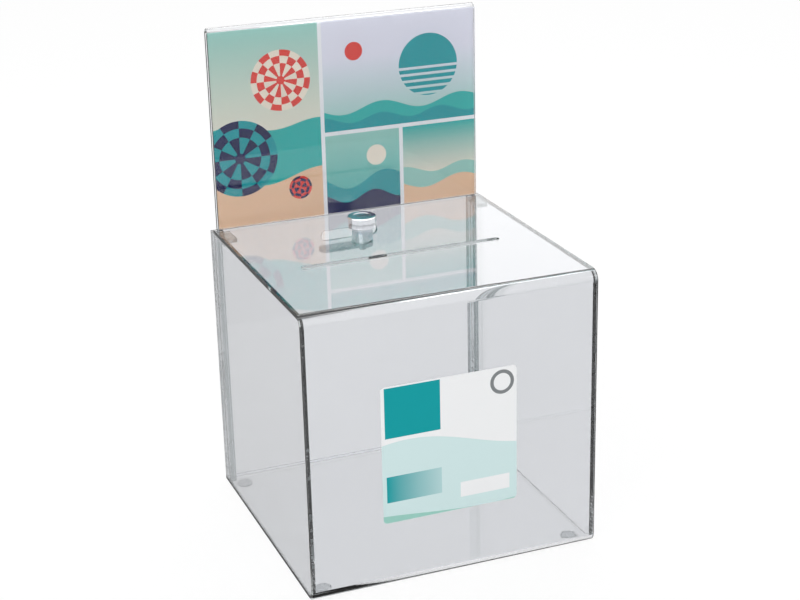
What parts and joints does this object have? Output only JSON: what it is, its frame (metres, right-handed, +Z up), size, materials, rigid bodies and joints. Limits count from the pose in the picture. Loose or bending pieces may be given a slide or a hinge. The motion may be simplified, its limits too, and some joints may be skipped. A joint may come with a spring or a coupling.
{
  "type": "ballot box",
  "caption": "Clear acrylic ballot box with a top slot, a cam lock, a sliding rear door and a folded sign pocket above it.",
  "frame": {"origin": "on the surface the box stands on, under the middle of the box", "axes": "+Z up; the front sheet with the label faces -Y; +X is to the right seen from the front"},
  "size_m": [0.217, 0.2142, 0.365],
  "materials": {
    "acrylic": "clear polished cast acrylic sheet",
    "label_paper": "matt white paper label printed with flat colour blocks",
    "poster_paper": "coated paper with a printed picture",
    "clear_rubber": "clear soft polyurethane",
    "chrome": "bright chrome plate on zinc",
    "zinc_plated_steel": "bright zinc plate",
    "spring_steel": "plain drawn wire",
    "brass": "stamped brass"
  },
  "bodies": {
    "box": {"wrap_sheet": "acrylic", "side_panel_left": "acrylic", "side_panel_right": "acrylic", "front_guide_left": "acrylic", "front_guide_right": "acrylic", "rear_guide_left": "acrylic", "rear_guide_right": "acrylic", "corner_block_left": "acrylic", "corner_block_right": "acrylic", "front_label": "label_paper", "bumper_feet": "clear_rubber", "lock_housing": "chrome", "lock_washer": "zinc_plated_steel", "lock_nut": "zinc_plated_steel"},
    "door": {"door_sheet": "acrylic"},
    "poster_sheet": {"poster": "poster_paper"},
    "lock_core": {"lock_plug": "chrome", "wafers": "brass", "wafer_springs": "spring_steel", "stop_washer": "zinc_plated_steel", "cam": "zinc_plated_steel", "cam_screw_washer": "zinc_plated_steel", "cam_screw": "zinc_plated_steel"}
  },
  "joints": [
    {"name": "door_lift", "type": "slide", "parent": "box", "child": "door", "axis": [0, 0, 1], "range_m": [0, 0.215]},
    {"name": "poster_slide", "type": "slide", "parent": "door", "child": "poster_sheet", "axis": [1, 0, 0], "range_m": [0, 0.213]},
    {"name": "lock_turn", "type": "hinge", "parent": "box", "child": "lock_core", "pos_m": [0, 0.0695, 0.213], "axis": [0, 0, -1], "range_deg": [0, 90]}
  ]
}
